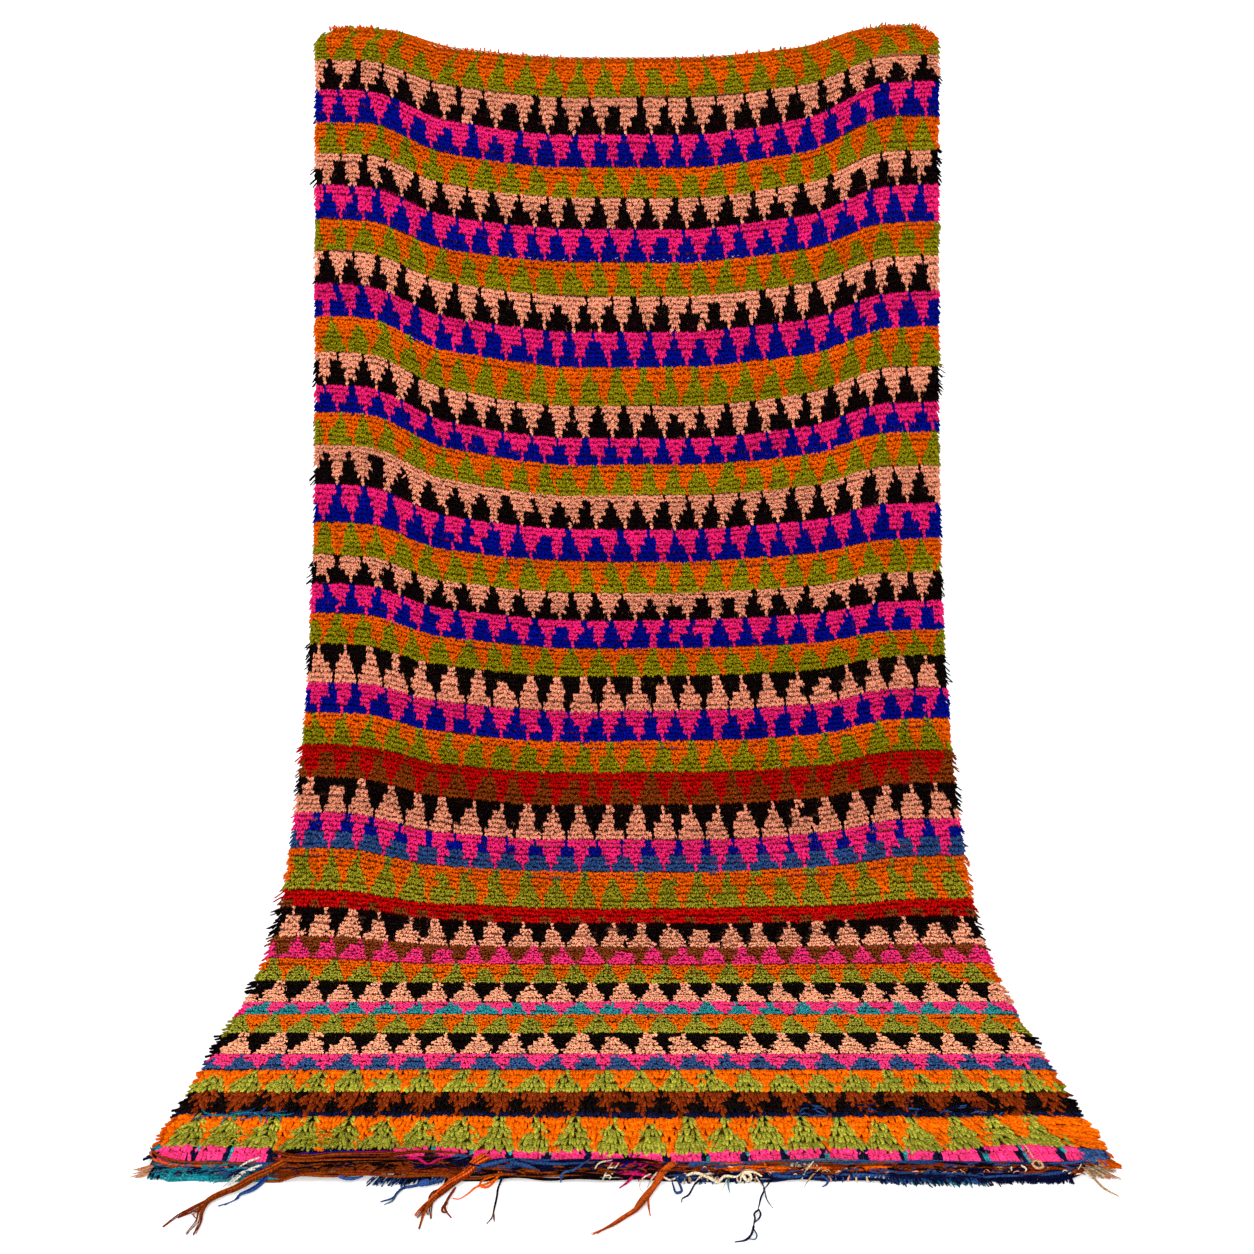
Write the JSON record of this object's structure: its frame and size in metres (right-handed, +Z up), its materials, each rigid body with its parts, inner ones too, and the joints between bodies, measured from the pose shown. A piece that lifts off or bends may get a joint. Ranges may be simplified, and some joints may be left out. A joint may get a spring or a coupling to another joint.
{
  "type": "knotted pile rug",
  "caption": "Long hand-knotted pile rug in zigzag bands of bright wool, hung by its top edge and sweeping forward onto the floor.",
  "frame": {"origin": "on the floor, under the middle of the whole rug's box", "axes": "+Z up; the pile faces -Y, towards the viewer; +X to the viewer's right"},
  "size_m": [1.5018, 1.3668, 2.019],
  "materials": {
    "pile_cloth": "hand-knotted wool pile in bands of orange, green, peach, black, pink and blue",
    "edge_pile": "loose locks of wool pile in the colour of the band they leave",
    "end_yarns": "flatwoven wool and cotton wefts in navy, rust, teal and cream, with loose yarn ends"
  },
  "bodies": {
    "root": {"rug_body": "pile_cloth", "left_edge_locks_1": "edge_pile", "left_edge_locks_2": "edge_pile", "left_edge_locks_3": "edge_pile", "left_edge_locks_4": "edge_pile", "left_edge_locks_5": "edge_pile", "left_edge_locks_6": "edge_pile", "left_edge_locks_7": "edge_pile", "left_edge_locks_8": "edge_pile", "right_edge_locks_1": "edge_pile", "right_edge_locks_2": "edge_pile", "right_edge_locks_3": "edge_pile", "right_edge_locks_4": "edge_pile", "right_edge_locks_5": "edge_pile", "right_edge_locks_6": "edge_pile", "right_edge_locks_7": "edge_pile", "right_edge_locks_8": "edge_pile", "end_strip_1": "end_yarns", "end_strip_2": "end_yarns", "end_strip_3": "end_yarns", "end_strip_4": "end_yarns", "end_strip_5": "end_yarns"}
  },
  "joints": []
}
